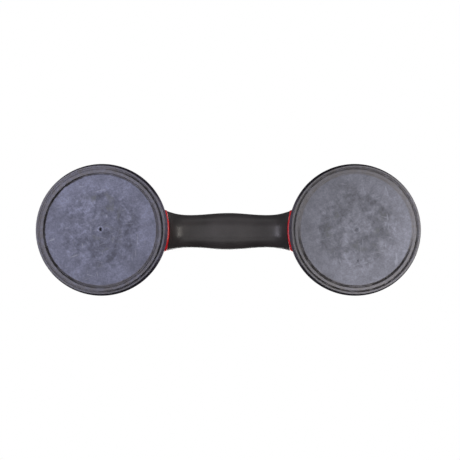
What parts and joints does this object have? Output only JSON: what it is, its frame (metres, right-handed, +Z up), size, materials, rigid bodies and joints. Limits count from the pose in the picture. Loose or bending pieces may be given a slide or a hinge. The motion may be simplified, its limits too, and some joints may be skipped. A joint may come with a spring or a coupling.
{
  "type": "suction lifter",
  "caption": "Suction lifter for floor tiles: grey rubber pads under red domed heads, joined by a black bridge handle, each pulled up by a cam lever.",
  "frame": {"origin": "under the middle of the handle, in the plane of the pads' sealing lips, which the tool stands on", "axes": "+X along the handle from pad to pad, +Z up, away from the tile; the right head is the one at +X"},
  "size_m": [0.35, 0.12, 0.1085],
  "materials": {
    "red_plastic": "satin moulded ABS",
    "grip_black": "soft-touch satin black",
    "lever_black": "fine-textured black nylon",
    "pad_rubber": "grey moulded rubber with a slight bloom",
    "plate_steel": "stamped, zinc plated",
    "turned_steel": "turned",
    "zinc_steel": "bright zinc plated",
    "spring_steel": "drawn wire",
    "bush_brass": "turned",
    "wear_steel": "brushed stainless"
  },
  "bodies": {
    "frame": {"body_frame": "red_plastic", "grip_lower_shell": "grip_black", "grip_upper_shell": "grip_black", "grip_screws": "zinc_steel", "left_suction_pad": "pad_rubber", "left_return_spring": "spring_steel", "left_guide_bush": "bush_brass", "left_wear_plate": "wear_steel", "right_suction_pad": "pad_rubber", "right_return_spring": "spring_steel", "right_guide_bush": "bush_brass", "right_wear_plate": "wear_steel"},
    "left_core": {"left_insert_plate": "plate_steel", "left_pull_stud": "turned_steel", "left_lock_nut": "zinc_steel"},
    "left_cam_lever": {"left_lever": "lever_black", "left_lever_pin": "turned_steel", "left_pin_clip": "spring_steel"},
    "right_core": {"right_insert_plate": "plate_steel", "right_pull_stud": "turned_steel", "right_lock_nut": "zinc_steel"},
    "right_cam_lever": {"right_lever": "lever_black", "right_lever_pin": "turned_steel", "right_pin_clip": "spring_steel"}
  },
  "joints": [
    {"name": "left_core_slide", "type": "slide", "parent": "frame", "child": "left_core", "axis": [0, 0, 1], "range_m": [0, 0.005], "stiffness_N_per_m": 3700, "springref_m": -0.003, "deforming": ["left_return_spring", "left_suction_pad"]},
    {"name": "left_lever_hinge", "type": "hinge", "parent": "left_core", "child": "left_cam_lever", "pos_m": [-0.115, 0, 0.0485], "axis": [0, -1, 0], "range_deg": [0, 80]},
    {"name": "right_core_slide", "type": "slide", "parent": "frame", "child": "right_core", "axis": [0, 0, 1], "range_m": [0, 0.005], "stiffness_N_per_m": 3700, "springref_m": -0.003, "deforming": ["right_return_spring", "right_suction_pad"]},
    {"name": "right_lever_hinge", "type": "hinge", "parent": "right_core", "child": "right_cam_lever", "pos_m": [0.115, 0, 0.0485], "axis": [0, 1, 0], "range_deg": [0, 80]}
  ],
  "couplings": [
    {"joint": "left_lever_hinge", "follows": "left_core_slide", "rad_per_m": 279.25},
    {"joint": "right_lever_hinge", "follows": "right_core_slide", "rad_per_m": 279.25}
  ]
}
